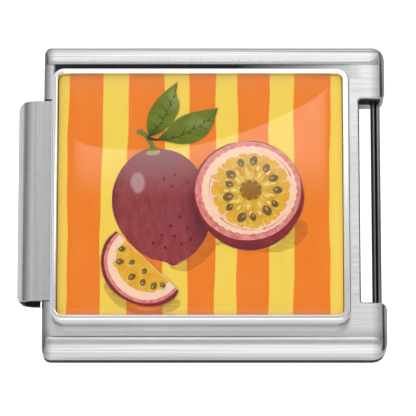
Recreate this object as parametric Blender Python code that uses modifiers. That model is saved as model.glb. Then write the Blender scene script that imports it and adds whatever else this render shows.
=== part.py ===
"""A link of a modular charm bracelet: a steel case with a framed picture on its front, a sprung hook
on its left and a catch bar on its right, which the next link's hook goes round.

Run it with blender --background --python part.py, or from Blender's text editor.
Metres, +Z up. The link lies on its back cover. X runs along the bracelet, from the hook to the bar,
and Y across it. Sizes below are measured from the middle of the case, and an empty then moves the
whole link so that the middle of its overall box is over the origin."""

import math

import bmesh
import bpy
from mathutils import Vector

MM = 0.001
FIT = 0.02 * MM  # air left between two pieces that touch
SHEET = 0.25 * MM  # the case's sheet steel

# Case: the front shell, with a window between two lugs at its right end
CASE_HALF_X = 4.865 * MM
CASE_HALF_Y = 4.50 * MM
CASE_CORNER = 0.38 * MM
CASE_LEFT_CORNER = 0.22 * MM
CASE_EDGE = 0.20 * MM  # radius where the front turns into the sides, and the sides under
CASE_LOW = 0.40 * MM
CASE_CROWN_WIDTH = 0.44 * MM  # how far in the rims and lugs start to fall away towards the sides
CASE_CROWN_DROP = 0.25 * MM
CASE_MOUTH_INSET = 0.29 * MM  # the opening at the back, in from the outside
DECK_TOP = 1.69 * MM
RIM_RISE = 0.06 * MM
RIM_INNER_Y = 3.97 * MM
WINDOW_X = 4.13 * MM
LUG_INNER_Y = 2.94 * MM

# Back cover: a tray that closes the case from behind
BACK_INSET = 0.32 * MM
BACK_HIGH = 0.80 * MM
BACK_EDGE = 0.16 * MM

# Catch bar, from lug to lug
BAR_LEFT_X = 4.47 * MM
BAR_RIGHT_X = 4.73 * MM
BAR_LOW = 1.02 * MM
BAR_HIGH = 1.39 * MM
BAR_EDGE = 0.06 * MM
BAR_END_Y = 3.32 * MM
GROOVE_LEFT_X = 4.56 * MM
GROOVE_RIGHT_X = 4.62 * MM
GROOVE_DEPTH = 0.20 * MM

# Hook: one bent strip that slides along X
HOOK_SHEET = 0.22 * MM
HOOK_HALF_Y = 2.90 * MM
HOOK_END_X = -5.595 * MM
HOOK_TOP = 1.65 * MM
HOOK_LOW = 0.55 * MM
HOOK_TIP_X = -4.95 * MM
HOOK_TRAVEL = 0.90 * MM
HOOK_PLAN_CORNER = 0.27 * MM
STEP_START_X = -2.75 * MM
STEP_END_X = -2.50 * MM
TAIL_MIDDLE_Z = 1.28 * MM
TAIL_END_X = 1.00 * MM
TAIL_BEND = 0.25 * MM
TAIL_LOW = 0.42 * MM
NOTCH_END_X = -2.40 * MM
NOTCH_LOW = 1.40 * MM

# Spring and its stop
STOP_FACE_X = -0.90 * MM
STOP_FOOT_X = -1.36 * MM
STOP_HALF_Y = 2.60 * MM
STOP_HIGH = 1.08 * MM
SPRING_SHEET = 0.10 * MM
SPRING_HALF_CHORD = 2.20 * MM
SPRING_LOW = 0.32 * MM
SPRING_HIGH = 1.06 * MM

# Rivets
RIVET_X = -1.80 * MM
RIVET_Y = 2.00 * MM
RIVET_RADIUS = 0.30 * MM
RIVET_HEAD_RADIUS = 0.48 * MM
RIVET_HEAD_HIGH = 0.12 * MM

# Picture frame, picture and resin
FRAME_LEFT_X = -4.60 * MM
FRAME_RIGHT_X = 3.83 * MM
FRAME_HALF_Y = 3.64 * MM
FRAME_CORNER = 0.35 * MM
FRAME_EDGE = 0.07 * MM
FRAME_HIGH = 2.51 * MM
POCKET_LEFT_X = -4.42 * MM
POCKET_RIGHT_X = 3.62 * MM
POCKET_HALF_Y = 3.48 * MM
POCKET_CORNER = 0.16 * MM
POCKET_FLOOR = 2.22 * MM
PICTURE_THICKNESS = 0.12 * MM
RESIN_EDGE_HIGH = 2.47 * MM
RESIN_CROWN = 0.15 * MM
RESIN_RINGS = 5
RESIN_SLOPE_WIDTH = 1.60 * MM

PAST = 1.0 * MM  # how far a cutter runs past what it cuts


def clear_scene():
    for thing in list(bpy.data.objects):
        bpy.data.objects.remove(thing)


def metal(name, colour, roughness, metallic=1.0):
    finish = bpy.data.materials.new(name)
    finish.use_nodes = True
    shader = finish.node_tree.nodes["Principled BSDF"]
    shader.inputs["Base Color"].default_value = (*colour, 1.0)
    shader.inputs["Roughness"].default_value = roughness
    shader.inputs["Metallic"].default_value = metallic
    return finish


def filleted(corners, steps=5):
    """The closed outline through corners (x, y, radius), each one rounded to its radius."""
    outline = []
    for i, (x, y, radius) in enumerate(corners):
        here = Vector((x, y))
        back = (Vector(corners[i - 1][:2]) - here).normalized()
        ahead = (Vector(corners[(i + 1) % len(corners)][:2]) - here).normalized()
        half = back.angle(ahead) / 2
        centre = here + (back + ahead).normalized() * radius / math.sin(half)
        start = here + back * radius / math.tan(half) - centre
        end = here + ahead * radius / math.tan(half) - centre
        first = math.atan2(start.y, start.x)
        turn = math.remainder(math.atan2(end.y, end.x) - first, math.tau)
        for k in range(steps + 1):
            angle = first + turn * k / steps
            outline.append(centre + radius * Vector((math.cos(angle), math.sin(angle))))
    return outline


def box_corners(left, right, half_y, radius):
    return [
        (left, -half_y, radius),
        (right, -half_y, radius),
        (right, half_y, radius),
        (left, half_y, radius),
    ]


def extruded(points, move):
    """A bmesh of the face through points, extruded by move."""
    solid = bmesh.new()
    face = solid.faces.new([solid.verts.new(point) for point in points])
    grown = bmesh.ops.extrude_face_region(solid, geom=[face], use_keep_orig=True)
    far = [v for v in grown["geom"] if isinstance(v, bmesh.types.BMVert)]
    bmesh.ops.translate(solid, verts=far, vec=move)
    bmesh.ops.recalc_face_normals(solid, faces=solid.faces)
    return solid


def prism(outline, low, high):
    """A bmesh of the outline's face extruded from low to high."""
    return extruded([(x, y, low) for x, y in outline], (0, 0, high - low))


def block(low, high):
    """A bmesh cube stretched between two opposite corners."""
    solid = bmesh.new()
    bmesh.ops.create_cube(solid, size=1.0)
    low, high = Vector(low), Vector(high)
    bmesh.ops.scale(solid, vec=high - low, verts=solid.verts)
    bmesh.ops.translate(solid, vec=(low + high) / 2, verts=solid.verts)
    return solid


def edges_at(solid, height):
    """The edges that lie wholly at one height."""
    near = 1e-8
    return [e for e in solid.edges if all(abs(v.co.z - height) < near for v in e.verts)]


def flat_face(solid, height):
    """The face that lies wholly at one height."""
    near = 1e-8
    return next(f for f in solid.faces if all(abs(v.co.z - height) < near for v in f.verts))


def round_edges(solid, edges, radius, segments):
    bmesh.ops.bevel(
        solid, geom=edges, offset=radius, segments=segments, profile=0.5, affect="EDGES"
    )


def finished(solid, name, parent, collection, finish=None):
    """Turns a bmesh into an object under parent."""
    mesh = bpy.data.meshes.new(name)
    solid.to_mesh(mesh)
    solid.free()
    thing = bpy.data.objects.new(name, mesh)
    collection.objects.link(thing)
    thing.parent = parent
    if finish is not None:
        mesh.materials.append(finish)
    mesh.shade_smooth()
    mesh.set_sharp_from_angle(angle=math.radians(30))
    return thing


def cut(thing, cutter, operation="DIFFERENCE"):
    step = thing.modifiers.new(cutter.name, "BOOLEAN")
    step.operation = operation
    step.object = cutter


def thicken(thing, thickness):
    wall = thing.modifiers.new("sheet", "SOLIDIFY")
    wall.thickness = thickness
    wall.offset = 0
    wall.use_even_offset = True


def case_outline(inset=0.0):
    """The case seen from above, or a line inside it: a box with a window let into its right end."""
    x, y = CASE_HALF_X - inset, CASE_HALF_Y - inset
    window, lug = WINDOW_X - inset, LUG_INNER_Y + inset
    least = 0.17 * MM
    right = max(CASE_CORNER - inset, least)
    left = max(CASE_LEFT_CORNER - inset, least)
    soft = max(0.22 * MM - inset, least)
    inner = 0.05 * MM + inset
    half = [(x, lug, soft), (x, y, right), (-x, y, left)]
    mirrored = [(px, -py, radius) for px, py, radius in reversed(half)]
    return filleted(mirrored + [(window, -lug, inner), (window, lug, inner)] + half, steps=4)


def crown_profile(edge, top):
    """What falls away outside a quarter of an ellipse at one edge, as (distance out, height)."""
    steps = 8
    profile = [(edge + PAST, top + PAST), (edge + PAST, top - CASE_CROWN_DROP)]
    for k in range(steps + 1):
        angle = math.pi / 2 * k / steps
        out = edge - CASE_CROWN_WIDTH * (1 - math.cos(angle))
        profile.append((out, top - CASE_CROWN_DROP * (1 - math.sin(angle))))
    profile.append((edge - CASE_CROWN_WIDTH, top + PAST))
    return profile


def crown_the_case(shell, link, cutters, top):
    """Rounds the rims along Y and the lugs' ends along X with a flat, elliptical curve."""
    length = 2 * (CASE_HALF_X + PAST)
    for side, name in ((-1, "lower"), (1, "upper")):
        profile = crown_profile(CASE_HALF_Y, top)
        points = [(-length / 2, side * out, height) for out, height in profile]
        cutter = extruded(points, (length, 0, 0))
        cut(shell, finished(cutter, f"{name}_crown_cutter", link, cutters))
    points = [(out, -length / 2, height) for out, height in crown_profile(CASE_HALF_X, top)]
    cutter = extruded(points, (0, length, 0))
    cut(shell, finished(cutter, "end_crown_cutter", link, cutters))


def make_front_shell(link, parts, cutters, steel):
    """A drawn sheet pan, open at the back, whose sides curl under at the bottom."""
    top = DECK_TOP + RIM_RISE
    pan = prism(case_outline(), CASE_LOW, top)
    round_edges(pan, edges_at(pan, top) + edges_at(pan, CASE_LOW), CASE_EDGE, 4)
    shell = finished(pan, "front_shell", link, parts, steel)
    crown_the_case(shell, link, cutters, top)

    low, high = CASE_LOW + SHEET, DECK_TOP - SHEET
    space = prism(case_outline(SHEET), low, high)
    round_edges(space, edges_at(space, low) + edges_at(space, high), 0.10 * MM, 2)
    cut(shell, finished(space, "case_space_cutter", link, cutters))
    mouth = prism(case_outline(CASE_MOUTH_INSET), CASE_LOW - PAST, (low + high) / 2)
    cut(shell, finished(mouth, "case_mouth_cutter", link, cutters))

    sunk_deck = block(
        (-CASE_HALF_X - PAST, -RIM_INNER_Y, DECK_TOP), (CASE_HALF_X + PAST, RIM_INNER_Y, top + PAST)
    )
    cut(shell, finished(sunk_deck, "deck_cutter", link, cutters))
    notch = block(
        (-CASE_HALF_X - PAST, -LUG_INNER_Y, NOTCH_LOW), (NOTCH_END_X, LUG_INNER_Y, top + PAST)
    )
    cut(shell, finished(notch, "hook_notch_cutter", link, cutters))
    bar_hole = block(
        (BAR_LEFT_X - FIT, -BAR_END_Y - FIT, BAR_LOW - FIT),
        (BAR_RIGHT_X + FIT, BAR_END_Y + FIT, BAR_HIGH + FIT),
    )
    cut(shell, finished(bar_hole, "bar_hole_cutter", link, cutters))
    return shell


def make_back_cover(link, parts, cutters, steel):
    """A shallow tray with rounded edges, open towards the front."""
    tray = prism(case_outline(BACK_INSET), 0.0, BACK_HIGH)
    round_edges(tray, edges_at(tray, 0.0), BACK_EDGE, 3)
    cover = finished(tray, "back_cover", link, parts, steel)
    space = prism(case_outline(BACK_INSET + SHEET), SHEET, BACK_HIGH + PAST)
    cut(cover, finished(space, "tray_space_cutter", link, cutters))
    return cover


def make_catch_bar(link, parts, cutters, steel):
    """A folded strip from lug to lug: the groove along its top is the fold's open side."""
    rod = block((BAR_LEFT_X, -BAR_END_Y, BAR_LOW), (BAR_RIGHT_X, BAR_END_Y, BAR_HIGH))
    along = [e for e in rod.edges if abs(e.verts[0].co.y - e.verts[1].co.y) > BAR_END_Y]
    round_edges(rod, along, BAR_EDGE, 3)
    bar = finished(rod, "catch_bar", link, parts, steel)
    groove = block(
        (GROOVE_LEFT_X, -BAR_END_Y - PAST, BAR_HIGH - GROOVE_DEPTH),
        (GROOVE_RIGHT_X, BAR_END_Y + PAST, BAR_HIGH + PAST),
    )
    cut(bar, finished(groove, "bar_groove_cutter", link, cutters))


def hook_path():
    """The middle of the hook's strip in the XZ plane, from the tip of its return to its tail."""
    reach = HOOK_SHEET / 2
    high = HOOK_TOP - reach
    low = HOOK_LOW + reach
    radius = (high - low) / 2
    centre = Vector((HOOK_END_X + reach + radius, (high + low) / 2))
    path = [Vector((HOOK_TIP_X, low))]
    bend_steps = 16
    for k in range(bend_steps + 1):
        angle = -math.pi / 2 - math.pi * k / bend_steps
        path.append(centre + radius * Vector((math.cos(angle), math.sin(angle))))
    path.append(Vector((STEP_START_X, high)))
    path.append(Vector((STEP_END_X, TAIL_MIDDLE_Z)))
    bend_centre = Vector((TAIL_END_X - reach - TAIL_BEND, TAIL_MIDDLE_Z - TAIL_BEND))
    corner_steps = 4
    for k in range(corner_steps + 1):
        angle = math.pi / 2 * (1 - k / corner_steps)
        path.append(bend_centre + TAIL_BEND * Vector((math.cos(angle), math.sin(angle))))
    path.append(Vector((TAIL_END_X - reach, TAIL_LOW)))
    return path


def make_hook(hook, parts, cutters, steel):
    """The bent strip, with its outer corners trimmed round and a slot for each rivet."""
    blank_half_y = HOOK_HALF_Y + SHEET
    strip = bmesh.new()
    line = [strip.verts.new((x, -blank_half_y, z)) for x, z in hook_path()]
    edges = [strip.edges.new(pair) for pair in zip(line, line[1:])]
    grown = bmesh.ops.extrude_edge_only(strip, edges=edges)
    far = [v for v in grown["geom"] if isinstance(v, bmesh.types.BMVert)]
    bmesh.ops.translate(strip, verts=far, vec=(0, 2 * blank_half_y, 0))
    plate = finished(strip, "hook_plate", hook, parts, steel)
    thicken(plate, HOOK_SHEET)

    corners = box_corners(HOOK_END_X - FIT, TAIL_END_X + PAST, HOOK_HALF_Y, HOOK_PLAN_CORNER)
    plan = finished(prism(filleted(corners), -PAST, DECK_TOP + PAST), "hook_plan", hook, cutters)
    cut(plate, plan, "INTERSECT")
    radius = RIVET_RADIUS + FIT
    for side, name in ((-1, "lower"), (1, "upper")):
        left, right = RIVET_X - radius, RIVET_X + HOOK_TRAVEL + radius
        low_y, high_y = side * RIVET_Y - radius, side * RIVET_Y + radius
        round_end = radius * 0.999
        slot_corners = [
            (left, low_y, round_end),
            (right, low_y, round_end),
            (right, high_y, round_end),
            (left, high_y, round_end),
        ]
        slot = prism(filleted(slot_corners), TAIL_MIDDLE_Z - HOOK_SHEET, HOOK_TOP)
        cut(plate, finished(slot, f"{name}_slot_cutter", hook, cutters))


def make_spring_stop(link, parts, steel):
    """An angle on the back cover's floor: its foot is welded down, its wall carries the spring."""
    floor = SHEET + FIT
    wall = SHEET * 0.9
    left = STOP_FACE_X - wall
    path = [(STOP_FOOT_X, floor), (STOP_FACE_X, floor), (STOP_FACE_X, STOP_HIGH), (left, STOP_HIGH)]
    path += [(left, floor + wall), (STOP_FOOT_X, floor + wall)]
    angle = extruded([(x, -STOP_HALF_Y, z) for x, z in path], (0, 2 * STOP_HALF_Y, 0))
    finished(angle, "spring_stop", link, parts, steel)


def make_leaf_spring(link, parts, steel):
    """A bowed strip on edge: its ends stand against the stop and its crown pushes the hook's tail."""
    crown_x = TAIL_END_X - HOOK_SHEET - FIT - SPRING_SHEET / 2
    ends_x = STOP_FACE_X + FIT + SPRING_SHEET
    rise = crown_x - ends_x
    radius = (SPRING_HALF_CHORD**2 + rise**2) / (2 * rise)
    sweep = math.asin(SPRING_HALF_CHORD / radius)
    steps = 20
    strip = bmesh.new()
    line = []
    for k in range(steps + 1):
        angle = sweep * (2 * k / steps - 1)
        x = crown_x - radius + radius * math.cos(angle)
        line.append(strip.verts.new((x, radius * math.sin(angle), SPRING_LOW)))
    edges = [strip.edges.new(pair) for pair in zip(line, line[1:])]
    grown = bmesh.ops.extrude_edge_only(strip, edges=edges)
    high = [v for v in grown["geom"] if isinstance(v, bmesh.types.BMVert)]
    bmesh.ops.translate(strip, verts=high, vec=(0, 0, SPRING_HIGH - SPRING_LOW))
    thicken(finished(strip, "leaf_spring", link, parts, steel), SPRING_SHEET)


def turned(profile, x, y, parent, collection, name, finish=None):
    """The profile, given as (radius, height) from top to bottom, turned about a vertical axis."""
    half = bmesh.new()
    line = [half.verts.new((radius, 0, height)) for radius, height in profile]
    for pair in zip(line, line[1:]):
        half.edges.new(pair)
    thing = finished(half, name, parent, collection, finish)
    thing.location = (x, y, 0)
    spin = thing.modifiers.new("turn", "SCREW")
    spin.steps = spin.render_steps = 24
    spin.use_merge_vertices = True
    spin.merge_threshold = 1e-6
    spin.use_smooth_shade = True
    return thing


def rivet_profile(grow, top, bottom):
    return [
        (0, top),
        (RIVET_RADIUS + grow, top),
        (RIVET_RADIUS + grow, RIVET_HEAD_HIGH + grow),
        (RIVET_HEAD_RADIUS + grow, RIVET_HEAD_HIGH + grow),
        (RIVET_HEAD_RADIUS + grow, bottom),
        (0, bottom),
    ]


def make_rivets(link, parts, cutters, steel, shell, cover):
    """Two rivets hold the case together, run in the hook's slots and lie flush at both ends."""
    for side, name in ((-1, "lower"), (1, "upper")):
        y = side * RIVET_Y
        profile = rivet_profile(0, DECK_TOP - FIT, FIT)
        turned(profile, RIVET_X, y, link, parts, f"{name}_rivet", steel)
        bore = rivet_profile(FIT, DECK_TOP + PAST, -PAST)
        bore = turned(bore, RIVET_X, y, link, cutters, f"{name}_rivet_bore")
        cut(shell, bore)
        cut(cover, bore)


def make_picture_frame(link, parts, cutters, steel):
    """A thick plate with a shallow pocket for the picture and its resin."""
    corners = box_corners(FRAME_LEFT_X, FRAME_RIGHT_X, FRAME_HALF_Y, FRAME_CORNER)
    plate = prism(filleted(corners), DECK_TOP + FIT, FRAME_HIGH)
    round_edges(plate, edges_at(plate, FRAME_HIGH), FRAME_EDGE, 2)
    frame = finished(plate, "picture_frame", link, parts, steel)
    corners = box_corners(POCKET_LEFT_X, POCKET_RIGHT_X, POCKET_HALF_Y, POCKET_CORNER)
    pocket = prism(filleted(corners), POCKET_FLOOR, FRAME_HIGH + PAST)
    cut(frame, finished(pocket, "pocket_cutter", link, cutters))


def pocket_outline(inset, corner):
    """The pocket's outline moved in, with its corners rounded to the radius given."""
    return filleted(
        box_corners(
            POCKET_LEFT_X + inset, POCKET_RIGHT_X - inset, POCKET_HALF_Y - inset, corner
        )
    )


def make_picture(link, parts, print_finish):
    low = POCKET_FLOOR + FIT
    sheet = prism(pocket_outline(FIT, POCKET_CORNER), low, low + PICTURE_THICKNESS)
    finished(sheet, "picture_panel", link, parts, print_finish)


def make_resin(link, parts, clear):
    """A poured resin cover whose top rises from the frame's edge to a flat crown."""
    low = POCKET_FLOOR + PICTURE_THICKNESS + 2 * FIT
    poured = bmesh.new()
    line = [poured.verts.new((x, y, low)) for x, y in pocket_outline(FIT, POCKET_CORNER)]
    poured.faces.new(line)
    for ring in range(RESIN_RINGS + 1):
        share = ring / RESIN_RINGS
        inset = RESIN_SLOPE_WIDTH * share
        height = RESIN_EDGE_HIGH + RESIN_CROWN * (1 - (1 - share) ** 2)
        outline = pocket_outline(FIT + inset, POCKET_CORNER + 0.6 * inset)
        above = [poured.verts.new((x, y, height)) for x, y in outline]
        for i in range(len(line)):
            poured.faces.new((line[i - 1], line[i], above[i], above[i - 1]))
        line = above
    poured.faces.new(line)
    bmesh.ops.recalc_face_normals(poured, faces=poured.faces)
    finished(poured, "resin_cover", link, parts, clear)


def new_collection(name):
    made = bpy.data.collections.new(name)
    bpy.context.scene.collection.children.link(made)
    return made


def new_empty(name, parent=None):
    empty = bpy.data.objects.new(name, None)
    bpy.context.scene.collection.objects.link(empty)
    empty.parent = parent
    return empty


def main():
    clear_scene()
    parts = new_collection("charm_bracelet_link")
    cutters = new_collection("cutters")
    link = new_empty("link_middle")
    link.location.x = -(HOOK_END_X + CASE_HALF_X) / 2
    hook = new_empty("hook_slide", link)

    polished = metal("polished_steel", (0.78, 0.78, 0.79), 0.12)
    satin = metal("satin_steel", (0.66, 0.66, 0.68), 0.28)
    spring_steel = metal("spring_steel", (0.42, 0.42, 0.45), 0.35)
    printed = metal("printed_picture", (0.94, 0.50, 0.19), 0.55, metallic=0.0)
    clear = metal("clear_resin", (0.98, 0.98, 0.98), 0.03, metallic=0.0)

    shell = make_front_shell(link, parts, cutters, polished)
    cover = make_back_cover(link, parts, cutters, satin)
    make_catch_bar(link, parts, cutters, satin)
    make_hook(hook, parts, cutters, satin)
    make_spring_stop(link, parts, spring_steel)
    make_leaf_spring(link, parts, spring_steel)
    make_rivets(link, parts, cutters, satin, shell, cover)
    make_picture_frame(link, parts, cutters, polished)
    make_picture(link, parts, printed)
    make_resin(link, parts, clear)

    for cutter in cutters.objects:
        cutter.hide_render = True
        cutter.display_type = "WIRE"


main()
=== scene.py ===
# %% [markdown]
# # A picture link of a modular charm bracelet
#
# The link is a small steel case, nine millimetres across. A thick polished plate on its front holds
# a printed picture of passion fruit under clear resin. A sprung hook stands out at its left end, and
# the next link's hook goes round the bar at its right end.
#
# The imported model gives every piece its place and size. This lesson makes the pieces that are seen,
# finishes each metal as it is finished in the workshop, with painted shade in its creases, hollows and edges,
# and paints the picture layer by layer.

# %% Load the imported model
import math

import bmesh
import bpy
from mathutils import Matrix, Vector


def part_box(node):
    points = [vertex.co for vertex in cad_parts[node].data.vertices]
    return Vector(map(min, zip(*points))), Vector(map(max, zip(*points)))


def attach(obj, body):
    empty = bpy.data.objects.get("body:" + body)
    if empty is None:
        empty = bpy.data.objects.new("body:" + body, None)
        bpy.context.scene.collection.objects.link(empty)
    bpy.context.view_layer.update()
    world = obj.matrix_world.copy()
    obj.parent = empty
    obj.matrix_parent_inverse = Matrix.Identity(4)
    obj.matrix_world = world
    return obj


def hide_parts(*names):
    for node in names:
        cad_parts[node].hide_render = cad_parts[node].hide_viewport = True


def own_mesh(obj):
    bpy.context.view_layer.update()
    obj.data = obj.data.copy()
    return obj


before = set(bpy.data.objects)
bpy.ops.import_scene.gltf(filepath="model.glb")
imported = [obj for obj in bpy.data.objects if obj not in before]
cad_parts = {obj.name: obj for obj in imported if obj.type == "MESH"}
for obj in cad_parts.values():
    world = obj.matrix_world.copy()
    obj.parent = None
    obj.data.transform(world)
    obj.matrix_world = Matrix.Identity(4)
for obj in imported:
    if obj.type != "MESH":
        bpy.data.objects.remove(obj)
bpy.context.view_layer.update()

# %% [markdown]
# ## Small helpers
#
# An operator acts on everything that is selected, so each step first deselects everything. In edit
# mode the faces and edges are then picked in code, by where they lie, as a hand would click them.

# %% Select, edit and pick
MM = 0.001
TOUCHING = 1e-7  # in metres: nearer than this, two places count as one


def deselect():
    if bpy.context.object is not None and bpy.context.object.mode != "OBJECT":
        bpy.ops.object.mode_set(mode="OBJECT")
    bpy.ops.object.select_all(action="DESELECT")


def choose(piece):
    deselect()
    piece.select_set(True)
    bpy.context.view_layer.objects.active = piece


def pick(piece, kind, wanted):
    """In edit mode, selects the piece's edges or faces that pass the test, and says how many."""
    choose(piece)
    bpy.ops.object.mode_set(mode="EDIT")
    bpy.ops.mesh.select_mode(type={"edges": "EDGE", "faces": "FACE"}[kind])
    bpy.ops.mesh.select_all(action="DESELECT")
    work = bmesh.from_edit_mesh(piece.data)
    found = [item for item in getattr(work, kind) if wanted(item)]
    for item in found:
        item.select_set(True)
    bmesh.update_edit_mesh(piece.data)
    return len(found)


# %% Blocks, cuts and rounded edges
def block(name, low, high):
    """A cube primitive stretched between two opposite corners."""
    deselect()
    low, high = Vector(low), Vector(high)
    bpy.ops.mesh.primitive_cube_add(size=1.0, location=(low + high) / 2, scale=high - low)
    piece = bpy.context.object
    piece.name = piece.data.name = name
    bpy.ops.object.transform_apply(location=True, rotation=True, scale=True)
    return piece


def bevel_edges(piece, wanted, radius, segments):
    count = pick(piece, "edges", wanted)
    bpy.ops.mesh.bevel(offset=radius, segments=segments, affect="EDGES", clamp_overlap=False)
    bpy.ops.object.mode_set(mode="OBJECT")
    return count


def upright(edge):
    a, b = (v.co for v in edge.verts)
    return abs(a.x - b.x) < TOUCHING and abs(a.y - b.y) < TOUCHING


def level_at(height):
    return lambda item: all(abs(v.co.z - height) < TOUCHING for v in item.verts)


def cut(piece, cutter):
    """Applies a Boolean with another mesh, and takes that mesh away."""
    choose(piece)
    step = piece.modifiers.new("cut", "BOOLEAN")
    step.operation, step.object, step.solver = "DIFFERENCE", cutter, "EXACT"
    bpy.ops.object.modifier_apply(modifier=step.name)
    bpy.data.objects.remove(cutter)


# %% Faces outwards
def face_outwards(piece):
    """Turns a closed piece's faces outwards: they are made to agree, and then its volume is tested."""
    choose(piece)
    bpy.ops.object.mode_set(mode="EDIT")
    bpy.ops.mesh.select_all(action="SELECT")
    bpy.ops.mesh.normals_make_consistent(inside=False)
    if bmesh.from_edit_mesh(piece.data).calc_volume(signed=True) < 0:
        bpy.ops.mesh.flip_normals()
    bpy.ops.object.mode_set(mode="OBJECT")


# %% Shading of a finished metal piece
def smooth(piece, degrees=35):
    """Smooth shading between shallow angles, with flat faces kept flat by weighted normals."""
    choose(piece)
    bpy.ops.object.shade_smooth_by_angle(angle=math.radians(degrees))
    step = piece.modifiers.new("weighted", "WEIGHTED_NORMAL")
    step.keep_sharp = True
    step.weight = 100
    bpy.ops.object.modifier_apply(modifier=step.name)


def merged_copy(node, name):
    """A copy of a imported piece, its loose triangles joined up into clean faces."""
    choose(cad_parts[node])
    bpy.ops.object.duplicate()
    piece = bpy.context.object
    piece.parent = None
    for key in list(piece.keys()):
        del piece[key]
    piece.name = piece.data.name = name
    bpy.ops.object.mode_set(mode="EDIT")
    bpy.ops.mesh.select_all(action="SELECT")
    bpy.ops.mesh.remove_doubles(threshold=2e-7)
    bpy.ops.mesh.dissolve_limited(angle_limit=math.radians(0.5))
    bpy.ops.object.mode_set(mode="OBJECT")
    piece.data.materials.clear()
    return piece


def break_edges(piece, width, segments=2):
    """Takes the sharpness off every hard edge, as tumbling does to stamped steel."""
    choose(piece)
    step = piece.modifiers.new("broken_edges", "BEVEL")
    step.limit_method, step.angle_limit = "ANGLE", math.radians(40)
    step.width, step.segments, step.use_clamp_overlap = width, segments, True
    bpy.ops.object.modifier_apply(modifier=step.name)


def report(piece):
    print(f"{piece.name}: {len(piece.data.polygons)} faces,",
          [round(side * 1000, 2) for side in piece.dimensions], "mm")


# %% [markdown]
# ## The camera
#
# The link is seen from its front, tipped a little so that its lower edge shows. A very long lens
# from ten centimetres away keeps its sides parallel. The camera's near limit has to be shorter than
# usual, because the whole object is only a centimetre long.

# %% Camera
ELEVATION = math.radians(77)
VIEW_WIDTH = 11.78 * MM
LENS = 300
SENSOR = 36

camera_data = bpy.data.cameras.new("camera")
camera_data.lens, camera_data.sensor_width = LENS, SENSOR
camera_data.clip_start, camera_data.clip_end = 0.001, 10
camera = bpy.data.objects.new("camera", camera_data)
bpy.context.scene.collection.objects.link(camera)
back = Vector((0, -math.cos(ELEVATION), math.sin(ELEVATION)))
aim = Vector((0.182, -0.246, 1.7)) * MM
camera.location = aim + back * VIEW_WIDTH * LENS / SENSOR
camera.rotation_euler = (-back).to_track_quat("-Z", "Y").to_euler()
bpy.context.scene.camera = camera
bpy.context.scene.view_settings.view_transform = "Standard"
print("The camera stands", round(camera.location.length * 1000, 1), "mm away")

# %% [markdown]
# ## Building with shader nodes
#
# The room, the shared effects and every finish are built from small node steps. One class holds the
# steps that they all take: a node with its sockets filled, a sum, and a ramp between two values.

# %% A helper that adds node steps
class Nodes:
    """Small node steps in one tree."""

    def __init__(self, tree):
        self.tree = tree

    def step(self, kind, settings=None, **sockets):
        """Adds a node, sets its options, and fills or links its sockets by name or as n0, n1, ..."""
        node = self.tree.nodes.new("ShaderNode" + kind)
        for label, value in (settings or {}).items():
            setattr(node, label, value)
        for label, value in sockets.items():
            key = int(label[1:]) if label[1:].isdigit() and label[0] == "n" else label.replace("_", " ")
            self.fill(node.inputs[key], value)
        return node

    def fill(self, slot, value):
        if isinstance(value, bpy.types.NodeSocket):
            self.tree.links.new(value, slot)
        else:
            slot.default_value = value

    def maths(self, operation, *values, kind="Math"):
        sockets = {f"n{i}": value for i, value in enumerate(values)}
        return self.step(kind, {"operation": operation}, **sockets).outputs[0]

    def product(self, first, *others):
        for other in others:
            first = self.maths("MULTIPLY", first, other)
        return first

    def ramp(self, value, low, high, start=0.0, end=1.0, soft=False):
        """Runs from start to end while the value goes from low to high, and is level outside that."""
        node = self.step("MapRange", {"interpolation_type": "SMOOTHSTEP" if soft else "LINEAR"}, Value=value,
                         From_Min=low, From_Max=high, To_Min=start, To_Max=end)
        return node.outputs[0]


# %% [markdown]
# ## Floor and light
#
# Polished steel has hardly any colour of its own: it shows the room. So the room is drawn with care.
# It is bright overhead and a little dimmer at the horizon, and a dark screen stands to the east and a
# paler one to the west, so each bend of the sheet runs from light to dark. One soft lamp overhead has
# a crisp, bowed upper edge and fades out at its lower one, in a dimmer part of the ceiling: the domed
# resin shows it as a pale sheen across the picture. A wide sun that no metal reflects fills in the
# picture's colours. The floor is a white sheet that glows a little towards the eye, like a light
# table, so that shadows on it stay faint.

# %% Light-table floor
deselect()
bpy.ops.mesh.primitive_plane_add(size=4.0, location=(0, 0, 0))
floor = bpy.context.object
floor.name = "floor"
floor_paper = bpy.data.materials.new("light_table")
floor_paper.use_nodes = True
paper = floor_paper.node_tree.nodes["Principled BSDF"]
paper.inputs["Base Color"].default_value = (0.93, 0.93, 0.93, 1)
paper.inputs["Roughness"].default_value = 0.9
paper.inputs["Emission Color"].default_value = (1, 1, 1, 1)
TABLE_GLOW = 0.9
table = Nodes(floor_paper.node_tree)
table_glow = table.maths("MULTIPLY", table.step("LightPath").outputs["Is Camera Ray"], TABLE_GLOW)
table.fill(paper.inputs["Emission Strength"], table_glow)
floor.data.materials.append(floor_paper)
print("Floor laid at z =", floor.location.z)

# %% Studio room
OVERHEAD = 1.22
HORIZON = 0.72
DIMMING = 0.62
LAMP = 2.4

room = bpy.data.worlds.new("studio")
bpy.context.scene.world = room
room.use_nodes = True
sky = Nodes(room.node_tree)
look = sky.step("TexCoord")
east, north, up = sky.step("SeparateXYZ", n0=look.outputs["Generated"]).outputs

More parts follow.
